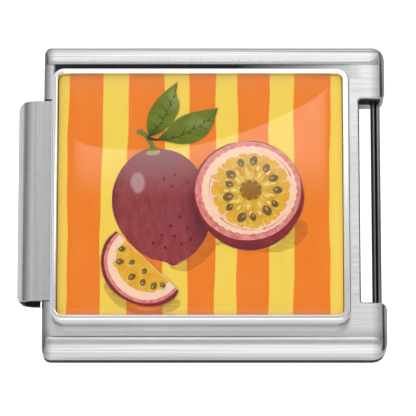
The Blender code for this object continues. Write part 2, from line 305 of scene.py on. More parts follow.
ceiling = sky.ramp(up, 0.0, 0.62, HORIZON, OVERHEAD, soft=True)
east_screen = sky.ramp(east, 0.10, 0.85, 1.0, 0.10)
west_screen = sky.ramp(east, -1.0, -0.20, 0.25, 1.0)
from_middle = sky.maths("ABSOLUTE", sky.maths("SUBTRACT", north, 0.12))
dim_east = sky.ramp(sky.maths("ABSOLUTE", east), 0.18, 0.42, 1.0, 0.0, soft=True)
dim_north = sky.ramp(from_middle, 0.16, 0.34, 1.0, 0.0, soft=True)
dimmed = sky.product(dim_east, dim_north, sky.ramp(up, 0.4, 0.6, soft=True))
ceiling = sky.maths("MULTIPLY", ceiling, sky.maths("MULTIPLY_ADD", dimmed, -DIMMING, 1.0))
ceiling = sky.maths("MULTIPLY", ceiling, sky.maths("MULTIPLY", east_screen, west_screen))

bow = sky.maths("MULTIPLY_ADD", sky.maths("MULTIPLY", east, east), 2.2, 0.290)
bow = sky.maths("MULTIPLY_ADD", east, 0.265, bow)
crisp_top = sky.ramp(sky.maths("SUBTRACT", bow, north), 0.0, 0.003)
faded_foot = sky.ramp(north, 0.214, 0.288, soft=True)
ends = sky.ramp(sky.maths("ABSOLUTE", east), 0.10, 0.17, 1.0, 0.0, soft=True)
lamp = sky.product(crisp_top, faded_foot, ends, sky.ramp(up, 0.5, 0.6, soft=True))
glow = room.node_tree.nodes["Background"]
sky.fill(glow.inputs["Strength"], sky.maths("MULTIPLY_ADD", lamp, LAMP, ceiling))
sky.fill(glow.inputs["Color"], (1.0, 1.0, 1.0, 1))
print("Room brightness from", HORIZON, "at the horizon to", OVERHEAD, "overhead")

# %% Wide fill light
fill_data = bpy.data.lights.new("fill", "SUN")
fill_data.energy, fill_data.angle = 0.95, math.radians(120)
fill = bpy.data.objects.new("fill", fill_data)
fill.rotation_euler = (math.radians(-15), math.radians(-15), 0)
fill.visible_glossy = False
bpy.context.scene.collection.objects.link(fill)
print("Fill light", fill_data.energy, "W per square metre")

# %% [markdown]
# ## Effects shared by several finishes
#
# Rolled and brushed steel carries fine lines along the direction of brushing. Handling adds hairline
# scratches and smudges that change the gloss but not the colour. The paint of the picture has brush
# strokes and speckles. Each of these is made once as a node group with its own inputs, and every
# finish then uses it with its own values.

# %% A helper that builds node groups
class Group(Nodes):
    """A shader node group being built: named inputs, small node steps, named outputs."""

    def __init__(self, name, inputs, outputs):
        super().__init__(bpy.data.node_groups.new(name, "ShaderNodeTree"))
        for label, kind, value in inputs:
            socket = self.tree.interface.new_socket(label, in_out="INPUT", socket_type="NodeSocket" + kind)
            if value is not None:
                socket.default_value = value
        for label, kind in outputs:
            self.tree.interface.new_socket(label, in_out="OUTPUT", socket_type="NodeSocket" + kind)
        self.given = self.tree.nodes.new("NodeGroupInput").outputs
        self.result = self.tree.nodes.new("NodeGroupOutput").inputs

    def put(self, label, value):
        self.tree.links.new(value, self.result[label])

    def noise(self, place, scale, detail, **more):
        return self.step("TexNoise", Vector=place, Scale=scale, Detail=detail, **more).outputs["Fac"]


# %% Brushed grain
grain = Group(
    "brushed_grain",
    [("Position", "Vector", None), ("Stretch", "Vector", (300, 20000, 20000)), ("Depth", "Float", 0.05)],
    [("Tone", "Float"), ("Height", "Float")],
)
stretched = grain.maths("MULTIPLY", grain.given["Position"], grain.given["Stretch"], kind="VectorMath")
lines = grain.noise(stretched, 1.0, 4.0, Roughness=0.65)
lowest = grain.maths("SUBTRACT", 1.0, grain.given["Depth"])
highest = grain.maths("ADD", 1.0, grain.given["Depth"])
grain.put("Tone", grain.ramp(lines, 0.3, 0.7, lowest, highest))
grain.put("Height", lines)

# %% Handling marks: hairlines and smudges
marks = Group(
    "handling_marks",
    [("Position", "Vector", None), ("Scale", "Float", 900.0), ("Fineness", "Float", 0.012)],
    [("Hairlines", "Float"), ("Smudges", "Float")],
)
SWIRL = (0.0012, 0.0012, 0.0012)
bent = marks.step("TexNoise", Vector=marks.given["Position"], Scale=350.0, Detail=2.0).outputs["Color"]
swirled = marks.maths("MULTIPLY_ADD", bent, SWIRL, marks.given["Position"], kind="VectorMath")
cells = marks.step("TexVoronoi", {"feature": "DISTANCE_TO_EDGE"}, Vector=swirled, Scale=marks.given["Scale"])
hairs = marks.ramp(cells.outputs["Distance"], 0.0, marks.given["Fineness"], 1.0, 0.0)
gaps = marks.ramp(marks.noise(marks.given["Position"], 1500.0, 1.0), 0.52, 0.62)
marks.put("Hairlines", marks.maths("MULTIPLY", hairs, gaps))
marks.put("Smudges", marks.noise(marks.given["Position"], 420.0, 3.0, Roughness=0.6))

# %% A soft band between two values, and a soft round spot
band = Group(
    "soft_band",
    [("Value", "Float", 0.0), ("Low", "Float", 0.0), ("High", "Float", 1.0), ("Softness", "Float", 0.1)],
    [("Mask", "Float")],
)
over = band.maths("SUBTRACT", band.given["Value"], band.given["Low"])
under = band.maths("SUBTRACT", band.given["High"], band.given["Value"])
nearest = band.maths("MINIMUM", over, under)
band.put("Mask", band.ramp(nearest, 0.0, band.given["Softness"], soft=True))

spot = Group(
    "soft_spot",
    [("Position", "Vector", None), ("Centre", "Vector", (0, 0, 0)), ("Size", "Vector", (1, 1, 1)),
     ("Softness", "Float", 0.3)],
    [("Mask", "Float")],
)
offset = spot.maths("SUBTRACT", spot.given["Position"], spot.given["Centre"], kind="VectorMath")
scaled = spot.maths("DIVIDE", offset, spot.given["Size"], kind="VectorMath")
reach = spot.step("VectorMath", {"operation": "LENGTH"}, n0=scaled).outputs["Value"]
full_up_to = spot.maths("SUBTRACT", 1.0, spot.given["Softness"])
spot.put("Mask", spot.ramp(reach, full_up_to, 1.0, 1.0, 0.0, soft=True))

# %% Brush strokes of the printed paint
strokes = Group(
    "paint_strokes",
    [("Position", "Vector", None), ("Colour", "Color", (1, 1, 1, 1)), ("Second", "Color", (0, 0, 0, 1)),
     ("Stretch", "Vector", (2500, 700, 0)), ("Amount", "Float", 0.3), ("Speckle", "Float", 0.1)],
    [("Colour", "Color"), ("Height", "Float")],
)
drawn = strokes.maths("MULTIPLY", strokes.given["Position"], strokes.given["Stretch"], kind="VectorMath")
washes = strokes.noise(drawn, 1.0, 5.0, Roughness=0.62)
wash = strokes.ramp(washes, 0.35, 0.68, 0.0, strokes.given["Amount"])
dots = strokes.noise(strokes.given["Position"], 26000.0, 1.0)
dot = strokes.ramp(dots, 0.55, 0.75, 0.0, strokes.given["Speckle"])
total = strokes.step("Math", {"operation": "ADD", "use_clamp": True}, n0=wash, n1=dot)
painted = strokes.step("Mix", {"data_type": "RGBA"}, n0=total.outputs[0], n6=strokes.given["Colour"],
                       n7=strokes.given["Second"])
strokes.put("Colour", painted.outputs[2])
strokes.put("Height", washes)
print("Effects ready:", [tree.name for tree in bpy.data.node_groups])

# %% A helper that starts a finish
class Finish(Nodes):
    """A material being built round its one Principled shader."""

    def __init__(self, name, roughness=0.5, metallic=0.0, **plain):
        self.material = bpy.data.materials.new(name)
        self.material.use_nodes = True
        super().__init__(self.material.node_tree)
        self.shader = self.tree.nodes["Principled BSDF"]
        for label, value in {"Roughness": roughness, "Metallic": metallic, **plain}.items():
            self.shader.inputs[label.replace("_", " ")].default_value = value
        self.position = self.step("TexCoord").outputs["Object"]
        self.x, self.y, self.z = self.step("SeparateXYZ", n0=self.position).outputs

    def use(self, group, **sockets):
        node = self.step("Group", {"node_tree": group.tree})
        for label, value in sockets.items():
            self.fill(node.inputs[label], value)
        return node.outputs

    def stripe(self, value, low, high, softness):
        """Is 1 between low and high, and falls softly to 0 just inside them."""
        return self.use(band, Value=value, Low=low, High=high, Softness=softness)["Mask"]

    def mix(self, amount, first, second):
        return self.step("Mix", {"data_type": "RGBA"}, n0=amount, n6=first, n7=second).outputs[2]

    def tint(self, colour, tone):
        return self.step("VectorMath", {"operation": "SCALE"}, n0=colour, Scale=tone).outputs[0]

    def bump(self, height, distance, strength=1.0):
        node = self.step("Bump", Height=height, Distance=distance, Strength=strength)
        self.drive("Normal", node.outputs[0])

    def drive(self, label, value):
        self.tree.links.new(value, self.shader.inputs[label])

    def worn(self, wear, least, most, scratched):
        """Roughness between two values by the smudges, and rougher along each hairline."""
        smudged = self.ramp(wear["Smudges"], 0.0, 1.0, least, most)
        return self.maths("MULTIPLY_ADD", wear["Hairlines"], scratched, smudged)

    def paint_black_shade(self, mask, roughness):
        """Painted shade: where the mask is 1 the metal is black and matt, with no mirror shine at all."""
        self.drive("Metallic", self.maths("SUBTRACT", 1.0, mask))
        self.drive("Roughness", self.maths("MULTIPLY_ADD", mask, 0.6, roughness))

    def on(self, piece):
        piece.data.materials.clear()
        piece.data.materials.append(self.material)


# %% [markdown]
# ## Where things lie
#
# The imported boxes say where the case, plate, pocket and resin are. Everything below is placed from
# them.

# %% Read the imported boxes
case_low, case_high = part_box("front_shell")
plate_low, plate_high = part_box("picture_frame")
film_low, film_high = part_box("picture_panel")
resin_low, resin_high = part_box("resin_cover")
hook_low, hook_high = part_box("hook_plate")
bar_low, bar_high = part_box("catch_bar")
picture_middle = Vector(((film_low.x + film_high.x) / 2, (film_low.y + film_high.y) / 2, 0))
DECK_TOP = plate_low.z - 0.02 * MM
RIM_LINE = 3.97 * MM
LUG_FACE = 2.94 * MM
WINDOW_WALL = 4.495 * MM
print("Picture", [round(side * 1000, 2) for side in film_high - film_low], "mm")

# %% [markdown]
# ## Polished steel of the case
#
# The case is drawn from stainless sheet and buffed along its length, so its grain runs from the hook to the
# bar. Its tone carries painted shade: the steel is darker towards both ends, along the far edge and over the
# upper half. A painted gradient of shade and light crosses the deck below the plate, with a painted highlight
# along the lower rim. In the crease between the raised rims and the plate, under the curled lower edge and on
# the walls of the window, the steel is painted almost black and matt, as painted shade.

# %% Case steel
SHADE_BLACK = (0.012, 0.013, 0.018, 1)
case_steel = Finish("buffed_case_steel", roughness=0.2, metallic=1.0)
lines = case_steel.use(grain, Position=case_steel.position, Stretch=(260, 15000, 15000), Depth=0.07)
wear = case_steel.use(marks, Position=case_steel.position, Scale=1500.0, Fineness=0.006)

# The tone of the polished steel, from place to place, with painted shade and painted highlights.
deck_painted_shading = case_steel.ramp(case_steel.y, -RIM_LINE, plate_low.y, 0.80, 1.14)
upper_painted_shade = case_steel.ramp(case_steel.y, plate_low.y, plate_high.y, 1.0, 0.88)
rim_painted_highlight = case_steel.ramp(case_steel.y, -RIM_LINE - 0.01 * MM, -RIM_LINE, 1.25, 1.0)
far_edge = case_steel.ramp(case_steel.y, case_high.y - 0.12 * MM, case_high.y - 0.05 * MM)
near_top = case_steel.ramp(case_steel.z, case_high.z - 0.50 * MM, case_high.z - 0.36 * MM)
far_edge_painted_shade = case_steel.ramp(case_steel.maths("MULTIPLY", far_edge, near_top), 0.0, 1.0, 1.0, 0.42)
east_end_painted_shade = case_steel.ramp(case_steel.x, case_high.x - 0.50 * MM, case_high.x - 0.02 * MM, 1.0, 0.35,
                           soft=True)
west_end_painted_shade = case_steel.ramp(case_steel.x, case_low.x, case_low.x + 0.34 * MM, 0.22, 1.0, soft=True)
steel = case_steel.tint((0.75, 0.75, 0.76), lines["Tone"])
for first, second in ((deck_painted_shading, upper_painted_shade), (rim_painted_highlight, far_edge_painted_shade), (east_end_painted_shade, west_end_painted_shade)):
    steel = case_steel.tint(steel, case_steel.maths("MULTIPLY", first, second))

# Painted shade, almost black: the creases beside the plate, under the curled lower edge, the window's walls.
upper_crease = case_steel.stripe(case_steel.y, plate_high.y - 0.1 * MM, RIM_LINE + 0.012 * MM, 0.03 * MM)
lower_crease = case_steel.stripe(case_steel.y, -RIM_LINE - 0.02 * MM, -RIM_LINE + 0.05 * MM, 0.03 * MM)
fade = case_steel.ramp(case_steel.x, 1.0 * MM, 4.6 * MM, 1.0, 0.0)
past_plate = case_steel.ramp(case_steel.x, plate_low.x - 0.02 * MM, plate_low.x + 0.06 * MM)
on_deck = case_steel.stripe(case_steel.z, DECK_TOP - 0.3 * MM, DECK_TOP + 0.2 * MM, 0.05 * MM)
crease_shade = case_steel.maths("MAXIMUM", upper_crease, case_steel.maths("MULTIPLY", lower_crease, 0.7))
crease_shade = case_steel.product(crease_shade, fade, past_plate, on_deck)
curl_shade = case_steel.ramp(case_steel.z, case_low.z + 0.61 * MM, case_low.z + 0.68 * MM, 1.0, 0.0, soft=True)
long_side = case_steel.ramp(case_steel.y, -case_high.y + 0.20 * MM, -case_high.y + 0.10 * MM)
in_window = case_steel.stripe(case_steel.z, DECK_TOP - 0.62 * MM, DECK_TOP - 0.05 * MM, 0.02 * MM)
between_lugs = case_steel.stripe(case_steel.y, -LUG_FACE - 0.03 * MM, LUG_FACE + 0.03 * MM, 0.01 * MM)
beside_plate = case_steel.ramp(case_steel.x, WINDOW_WALL - 0.06 * MM, WINDOW_WALL - 0.04 * MM)
window_wall_shade = case_steel.product(in_window, between_lugs, beside_plate)
painted_shade = case_steel.maths("MAXIMUM", crease_shade, case_steel.maths("MULTIPLY", curl_shade, long_side))
painted_shade = case_steel.maths("MAXIMUM", painted_shade, window_wall_shade)

# The painted shade makes the steel black and matt there.
case_steel.drive("Base Color", case_steel.mix(painted_shade, steel, SHADE_BLACK))
case_steel.paint_black_shade(painted_shade, case_steel.worn(wear, 0.16, 0.30, 0.12))
case_steel.bump(lines["Height"], 0.0004 * MM)
print("Finish", case_steel.material.name, "with", len(case_steel.tree.nodes), "nodes")

# %% [markdown]
# ## The case
#
# The case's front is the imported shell: a pan with two raised rims, a notch for the hook and a window
# for the next link's hook. Its shape is right, so a copy of it is taken, its triangles are joined
# up, and its stamped edges are broken a little so that they catch the light.

# %% Case front
case_front = merged_copy("front_shell", "case_front")
break_edges(case_front, 0.02 * MM)
smooth(case_front)
case_steel.on(case_front)
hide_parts("front_shell")
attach(case_front, "link_body")
report(case_front)

# %% [markdown]
# ## Satin steel of the back, hook and bar
#
# These pieces are stamped from the same sheet but only tumbled, which leaves a fine all-over satin
# with the rolling lines still faintly there.

# %% Satin steel
def satin(name, colour, stretch, roughness):
    finish = Finish(name, roughness=roughness, metallic=1.0)
    lines = finish.use(grain, Position=finish.position, Stretch=stretch, Depth=0.06)
    wear = finish.use(marks, Position=finish.position, Scale=1100.0, Fineness=0.012)
    finish.drive("Base Color", finish.tint(colour, lines["Tone"]))
    finish.drive("Roughness", finish.worn(wear, roughness - 0.07, roughness + 0.09, 0.15))
    finish.bump(lines["Height"], 0.0005 * MM)
    return finish


back_steel = satin("tumbled_back_steel", (0.55, 0.55, 0.56), (260, 15000, 15000), 0.32)
rivet_steel = satin("rivet_steel", (0.50, 0.50, 0.50), (9000, 9000, 9000), 0.30)
spring_blue = satin("spring_steel", (0.30, 0.31, 0.35), (15000, 260, 15000), 0.35)
print("Satin finishes:", back_steel.material.name, rivet_steel.material.name, spring_blue.material.name)

# %% Back cover, rivets and spring
back_cover = merged_copy("back_cover", "back_tray")
break_edges(back_cover, 0.02 * MM)
smooth(back_cover)
back_steel.on(back_cover)
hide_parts("back_cover")
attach(back_cover, "link_body")
report(back_cover)
for node in ("upper_rivet", "lower_rivet"):
    rivet_steel.on(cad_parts[node])
spring_blue.on(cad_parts["spring_stop"])

# %% [markdown]
# The leaf spring bows from its stop to the hook's tail. When the hook is pulled out its tail comes back and
# presses the bow flat, squashing the spring towards the stop. Here the spring is the imported one, copied
# with a mesh of its own.

# %% Leaf spring
leaf_spring = merged_copy("leaf_spring", "bowed_spring")
smooth(leaf_spring)
spring_blue.on(leaf_spring)
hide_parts("leaf_spring")
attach(leaf_spring, "link_body")
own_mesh(leaf_spring)

# %% [markdown]
# ## The hook
#
# The hook is one strip bent round a mandrel. Its mouth and the inside of its bend are painted almost black
# and matt, as painted shade. Its grain runs across the bracelet, along the bend.

# %% Hook steel and hook
hook_steel = Finish("bent_hook_steel", roughness=0.26, metallic=1.0)
lines = hook_steel.use(grain, Position=hook_steel.position, Stretch=(15000, 260, 15000), Depth=0.05)
wear = hook_steel.use(marks, Position=hook_steel.position, Scale=1000.0, Fineness=0.012)
BEND_CENTRE = (hook_low.x + 0.55 * MM, hook_low.y, hook_high.z - 0.55 * MM)
# Painted shade: the mouth of the bend and the hollow inside it.
mouth_shade = hook_steel.use(spot, Position=hook_steel.position, Centre=BEND_CENTRE,
                       Size=(0.46 * MM, 0.05 * MM, 0.46 * MM), Softness=0.25)["Mask"]
hook_colour = hook_steel.tint((0.56, 0.56, 0.575), lines["Tone"])
bend_height = hook_steel.maths("SUBTRACT", hook_steel.z, BEND_CENTRE[2])
bend_reach = hook_steel.maths("SUBTRACT", hook_steel.x, BEND_CENTRE[0])
squares = [hook_steel.maths("MULTIPLY", side, side) for side in (bend_height, bend_reach)]
from_axis = hook_steel.maths("SQRT", hook_steel.maths("ADD", *squares))
mouth_shade = hook_steel.maths("MAXIMUM", mouth_shade, hook_steel.ramp(from_axis, 0.44 * MM, 0.50 * MM, 1.0, 0.0))
hook_steel.drive("Base Color", hook_steel.mix(mouth_shade, hook_colour, (0.01, 0.01, 0.012, 1)))
hook_steel.paint_black_shade(mouth_shade, hook_steel.worn(wear, 0.2, 0.34, 0.15))
hook_steel.bump(lines["Height"], 0.0004 * MM)

hook = merged_copy("hook_plate", "bent_hook")
break_edges(hook, 0.018 * MM)
smooth(hook, 40)
hook_steel.on(hook)
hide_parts("hook_plate")
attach(hook, "hook")
report(hook)

# %% [markdown]
# ## The catch bar
#
# The bar is a narrow strip folded in two lengthwise, with the open side up. It is made from a block:
# its top is split by a groove, and then its long edges are rounded.

# %% Catch bar
bar = block("folded_bar", bar_low, bar_high)
groove_left, groove_right = bar_low.x + 0.10 * MM, bar_low.x + 0.16 * MM
cut(bar, block("groove", (groove_left, bar_low.y - MM, bar_high.z - 0.2 * MM),
               (groove_right, bar_high.y + MM, bar_high.z + MM)))


def outer_long_edge(edge):
    a, b = (v.co for v in edge.verts)
    outside = min(abs(a.x - bar_low.x), abs(a.x - bar_high.x)) < TOUCHING
    return abs(a.y - b.y) > MM and abs(a.x - b.x) < TOUCHING and outside


print("Bar edges rounded:", bevel_edges(bar, outer_long_edge, 0.05 * MM, 5))
break_edges(bar, 0.012 * MM)
smooth(bar)

bar_steel = Finish("folded_bar_steel", roughness=0.25, metallic=1.0)
lines = bar_steel.use(grain, Position=bar_steel.position, Stretch=(15000, 300, 15000), Depth=0.12)
# Painted shade, black and matt: the bar's left lip and its groove.
left_lip = bar_steel.stripe(bar_steel.x, bar_low.x - MM, bar_low.x + 0.07 * MM, 0.02 * MM)
groove_shade = bar_steel.stripe(bar_steel.x, groove_left - 0.01 * MM, groove_right + 0.015 * MM, 0.012 * MM)
bar_painted_shade = bar_steel.maths("MAXIMUM", bar_steel.maths("MULTIPLY", left_lip, 0.95), groove_shade)
bar_colour = bar_steel.tint((0.25, 0.25, 0.26), lines["Tone"])
bar_steel.drive("Base Color", bar_steel.mix(bar_painted_shade, bar_colour, (0.01, 0.011, 0.015, 1)))
bar_steel.paint_black_shade(bar_painted_shade, bar_steel.maths("MULTIPLY", lines["Tone"], 0.25))
bar_steel.on(bar)
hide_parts("catch_bar")
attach(bar, "link_body")
report(bar)

# %% [markdown]
# ## The plate that frames the picture
#
# A thick plate of the brightest polished steel, with rounded corners and a shallow pocket. It is
# modelled from a block: its four upright edges are rounded first, then its top edge, and then a
# second rounded block sinks the pocket.

# %% Frame plate
PLATE_CORNER = 0.35 * MM
plate = block("frame_plate", plate_low, plate_high)
bevel_edges(plate, upright, PLATE_CORNER, 14)
print("Plate top edge pieces:", bevel_edges(plate, level_at(plate_high.z), 0.07 * MM, 6))
POCKET_GAP = Vector((0.02, 0.02, 0.02)) * MM
pocket_top = Vector((film_high.x + 0.02 * MM, film_high.y + 0.02 * MM, plate_high.z + MM))
pocket = block("pocket", film_low - POCKET_GAP, pocket_top)
bevel_edges(pocket, upright, 0.16 * MM, 10)
cut(plate, pocket)
break_edges(plate, 0.025 * MM, 3)
smooth(plate)

plate_steel = Finish("mirror_frame_steel", roughness=0.12, metallic=1.0)
wear = plate_steel.use(marks, Position=plate_steel.position, Scale=700.0, Fineness=0.008)
lines = plate_steel.use(grain, Position=plate_steel.position, Stretch=(300, 9000, 9000), Depth=0.012)
# Painted shade: the plate's sides darken towards its foot.
plate_foot_shade = plate_steel.ramp(plate_steel.z, plate_low.z + 0.12 * MM, plate_high.z - 0.12 * MM, 0.3, 1.0, soft=True)
polished = plate_steel.tint((0.90, 0.90, 0.905), lines["Tone"])
plate_steel.drive("Base Color", plate_steel.tint(polished, plate_foot_shade))
plate_steel.drive("Roughness", plate_steel.worn(wear, 0.08, 0.16, 0.12))
plate_steel.on(plate)
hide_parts("picture_frame")
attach(plate, "link_body")
report(plate)

# %% [markdown]
# ## The picture
#
# The picture is a printed film: passion fruit on hand-cut stripes. Every colour is a flat shape of
# its own, laid one above the other like cut paper, a few thousandths of a millimetre apart. A shape
# is a curve through a few points, filled and given a hair's thickness, then made a mesh. The points
# are in millimetres from the picture's middle, and each paint has its strokes and shading in its
# nodes.

# %% Cut a flat shape
LAYER = 0.0040 * MM
PAINT_THICKNESS = 0.0015  # in millimetres, half of it each way
film_top = film_low.z + 0.05 * MM


def flat_shape(name, loops, level, sharp=False, resolution=8, tips=()):
    """Filled closed curves through the points of each loop, as a thin mesh on the given layer.

    The curves are round at every point, or cut sharp at every one, or only at the tips named."""
    drawing = bpy.data.curves.new(name, "CURVE")
    drawing.dimensions, drawing.fill_mode = "2D", "BOTH"
    drawing.extrude, drawing.resolution_u = PAINT_THICKNESS, resolution
    for loop in loops:
        spline = drawing.splines.new("BEZIER")
        spline.bezier_points.add(len(loop) - 1)
        for knot, point in zip(spline.bezier_points, loop):
            knot.co = (*point, 0)
            knot.handle_left_type = knot.handle_right_type = "VECTOR" if sharp or point in tips else "AUTO"
        spline.use_cyclic_u = True
    piece = bpy.data.objects.new(name, drawing)
    bpy.context.scene.collection.objects.link(piece)
    choose(piece)
    bpy.ops.object.convert(target="MESH")
    piece = bpy.context.object
    piece.scale = (MM, MM, MM)
    piece.location = picture_middle + Vector((0, 0, film_top + level * LAYER))
    bpy.ops.object.transform_apply(location=True, rotation=True, scale=True)
    bpy.ops.object.mode_set(mode="EDIT")
    bpy.ops.mesh.select_all(action="SELECT")
    bpy.ops.mesh.remove_doubles(threshold=1e-8)
    face_outwards(piece)
    return piece


def join(name, pieces):
    """Joins several pieces into one."""
    deselect()
    for piece in pieces:
        piece.select_set(True)
    bpy.context.view_layer.objects.active = pieces[0]
    bpy.ops.object.join()
    pieces[0].name = pieces[0].data.name = name
    return pieces[0]


def laid(piece, paint):
    """Paints a piece of the picture and fixes it to the link."""
    paint.on(piece)
    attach(piece, "link_body")
    report(piece)
    return piece


# %% Paint from two colours
def at(x, y):
    """A point of the picture in the link's own metres."""
    return (picture_middle.x + x * MM, picture_middle.y + y * MM, 0.0)


def even(density):
    """Strokes as dense in both directions."""
    return (density, density, 0)


def paint(name, colour, second, stretch=(2500, 700, 0), amount=0.3, speckle=0.1):
    finish = Finish(name, roughness=0.55, Specular_IOR_Level=0.0)
    worked = finish.use(strokes, Position=finish.position, Colour=(*colour, 1), Second=(*second, 1),
                        Stretch=stretch, Amount=amount, Speckle=speckle)
    finish.colour = worked["Colour"]
    finish.drive("Base Color", worked["Colour"])
    finish.bump(worked["Height"], 0.001 * MM)
    return finish


def shade(finish, colour, centre, size, softness, amount=1.0):
    """Adds a soft patch of another colour to a paint."""
    flat = finish.step("CombineXYZ", X=finish.x, Y=finish.y, Z=0.0)
    patch = finish.use(spot, Position=flat.outputs[0], Centre=at(*centre),
                       Size=(size[0] * MM, size[1] * MM, 1.0), Softness=softness)["Mask"]
    finish.colour = finish.mix(finish.maths("MULTIPLY", patch, amount), finish.colour, (*colour, 1))
    finish.drive("Base Color", finish.colour)


# %% Printed film
film = block("printed_film", film_low, (film_high.x, film_high.y, film_top))
bevel_edges(film, upright, 0.15 * MM, 10)
smooth(film)
yellow = paint("yellow_gouache", (0.90, 0.64, 0.085), (0.82, 0.50, 0.05), amount=0.22, speckle=0.08)
laid(film, yellow)
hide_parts("picture_panel")

# %% Orange stripes
FILM_HALF_Y = (film_high.y - film_low.y) / 2 / MM
STRIPES = ((-3.73, -2.79), (-2.06, -1.02), (-0.34, 0.43), (1.05, 1.93), (2.64, 3.64))


def stripe_edge(x, lean, phase):
    """A hand-cut line from the bottom of the film to its top."""
    points = []
    for k in range(13):
        share = k / 12
        y = FILM_HALF_Y * (2 * share - 1) * 0.996
        wobble = 0.022 * math.sin(7.0 * share + phase) + 0.012 * math.sin(23.0 * share + 2 * phase)
        points.append((x + lean * (share - 0.5) + wobble, y))
    return points


stripes = []
for i, (left, right) in enumerate(STRIPES):
    loop = stripe_edge(left, 0.05, 1.3 * i) + stripe_edge(right, 0.06, 1.3 * i + 2.2)[::-1]
    stripes.append(loop)
orange = paint("orange_gouache", (0.84, 0.195, 0.010), (0.88, 0.25, 0.03), amount=0.45, speckle=0.12)
laid(flat_shape("orange_stripes", stripes, 1, sharp=True), orange)

# %% [markdown]
# ### Soft shadows
#
# Each fruit throws a thin warm wash on the stripes. The wash is a clear brown whose edges are broken
# up, so the stripes show through it.

# %% Shadow washes
wash = Finish("shadow_wash", roughness=0.6, Specular_IOR_Level=0.0)
wash.shader.inputs["Base Color"].default_value = (0.30, 0.10, 0.01, 1)
hatch = wash.use(grain, Position=wash.position, Stretch=(3500, 11000, 0), Depth=0.5)
wash.drive("Alpha", wash.maths("MULTIPLY", hatch["Tone"], 0.11))
SHADOWS = [
    [(-0.90, -1.95), (-0.2, -1.55), (0.25, -0.75), (0.55, -0.95), (0.42, -1.55), (0.0, -2.0), (-0.45, -2.22)],
    [(0.45, -1.15), (1.2, -1.62), (2.1, -1.5), (2.75, -0.75), (2.98, -0.85), (2.9, -1.3), (2.2, -1.68),
     (1.3, -1.85), (0.7, -1.6)],
    [(-2.62, -2.5), (-2.1, -3.1), (-1.3, -3.32), (-0.75, -3.0), (-0.55, -3.1), (-1.0, -3.4), (-1.7, -3.42),
     (-2.4, -3.1)],
]
laid(flat_shape("fruit_shadows", SHADOWS, 2), wash)

# %% [markdown]
# ### The whole fruit
#
# A dusky plum skin: mauve bloom at the top, deep wine in the shadow on the right, a pale window
# highlight, short curved lines of light on the left, and small dark pores in two groups.

# %% Whole fruit
WHOLE = [(-1.35, 1.31), (-0.95, 1.28), (-0.57, 1.16), (-0.15, 0.80), (0.17, 0.22), (0.30, -0.43),
         (0.20, -1.12), (-0.02, -1.52), (-0.34, -1.84), (-0.57, -1.97), (-0.75, -2.06), (-0.95, -1.97),
         (-1.42, -1.84), (-1.98, -1.38), (-2.36, -0.80), (-2.48, -0.14), (-2.36, 0.44), (-2.02, 0.97),
         (-1.70, 1.22)]
skin = paint("plum_skin", (0.235, 0.024, 0.030), (0.34, 0.062, 0.066), stretch=(5200, 2600, 0), amount=0.75,
             speckle=0.65)
for colour, centre, size, softness, amount in (
        ((0.24, 0.075, 0.085), (-1.15, 1.10), (1.6, 1.3), 0.9, 0.8),
        ((0.085, 0.008, 0.018), (0.22, -0.45), (0.95, 1.9), 0.9, 0.85),
        ((0.070, 0.006, 0.016), (-2.62, 0.3), (0.55, 1.8), 0.9, 0.7),
        ((0.24, 0.05, 0.06), (-0.95, -0.75), (0.9, 0.8), 0.9, 0.5),
        ((0.46, 0.25, 0.26), (-1.76, 0.32), (0.24, 0.36), 0.35, 0.85)):
    shade(skin, colour, centre, size, softness, amount)
laid(flat_shape("whole_fruit", [WHOLE], 3), skin)

# %% Fine lines, pores, calyx and stem
def turned(x, y, px, py, turn):
    """The point px, py away from x, y, turned about it."""
    c, s = math.cos(turn), math.sin(turn)
    return (x + c * px - s * py, y + s * px + c * py)


def polar(centre, radius, angle, squash=1.0):
    """The point at an angle and distance from a centre."""
    return (centre[0] + radius * math.cos(angle), centre[1] + squash * radius * math.sin(angle))


def oval(x, y, half_width, half_height, turn=0.0, points=8):
    """Points of a tilted oval."""
    angles = [math.tau * k / points for k in range(points)]
    return [turned(x, y, half_width * math.cos(a), half_height * math.sin(a), turn) for a in angles]


def stroke(points, width):
    """A thin stroke through the points that tapers to its end."""
    left, right = [], []
    for i, (x, y) in enumerate(points):
        ahead = Vector(points[min(i + 1, len(points) - 1)]) - Vector(points[max(i - 1, 0)])
        across = Vector((-ahead.y, ahead.x)).normalized() * width / 2 * (1.0 - 0.8 * i / (len(points) - 1))
        left.append((x + across.x, y + across.y))
        right.append((x - across.x, y - across.y))
    return left + right[::-1]


LINE_CENTRE = (-0.62, -0.10)
skin_lines = []
for i in range(11):
    radius, start = 1.28 + 0.048 * i, 2.95 + 0.05 * math.sin(4 * i)
    arc = [polar(LINE_CENTRE, radius, start + 0.13 * k) for k in range(7)]
    skin_lines.append(flat_shape(f"skin_line_{i}", [stroke(arc, 0.016)], 4, resolution=3))
bloom = paint("skin_bloom", (0.36, 0.085, 0.080), (0.24, 0.030, 0.035), stretch=even(16000), amount=0.95)
laid(join("skin_lines", skin_lines), bloom)

PORES = [(-0.82, -0.92), (-1.08, -1.20), (-0.72, -1.22), (-0.52, -1.44), (-0.98, -1.55), (-0.36, -0.98),
         (-0.58, -0.66), (-1.32, -1.42), (-1.02, 0.42), (-0.72, 0.55), (-0.80, 0.22), (-0.36, 0.34),
         (-0.26, -1.32)]
dark_plum = paint("pore_plum", (0.070, 0.004, 0.008), (0.10, 0.010, 0.015))
laid(flat_shape("pores", [oval(x, y, 0.030, 0.045, 0.4, 6) for x, y in PORES], 4, resolution=3), dark_plum)

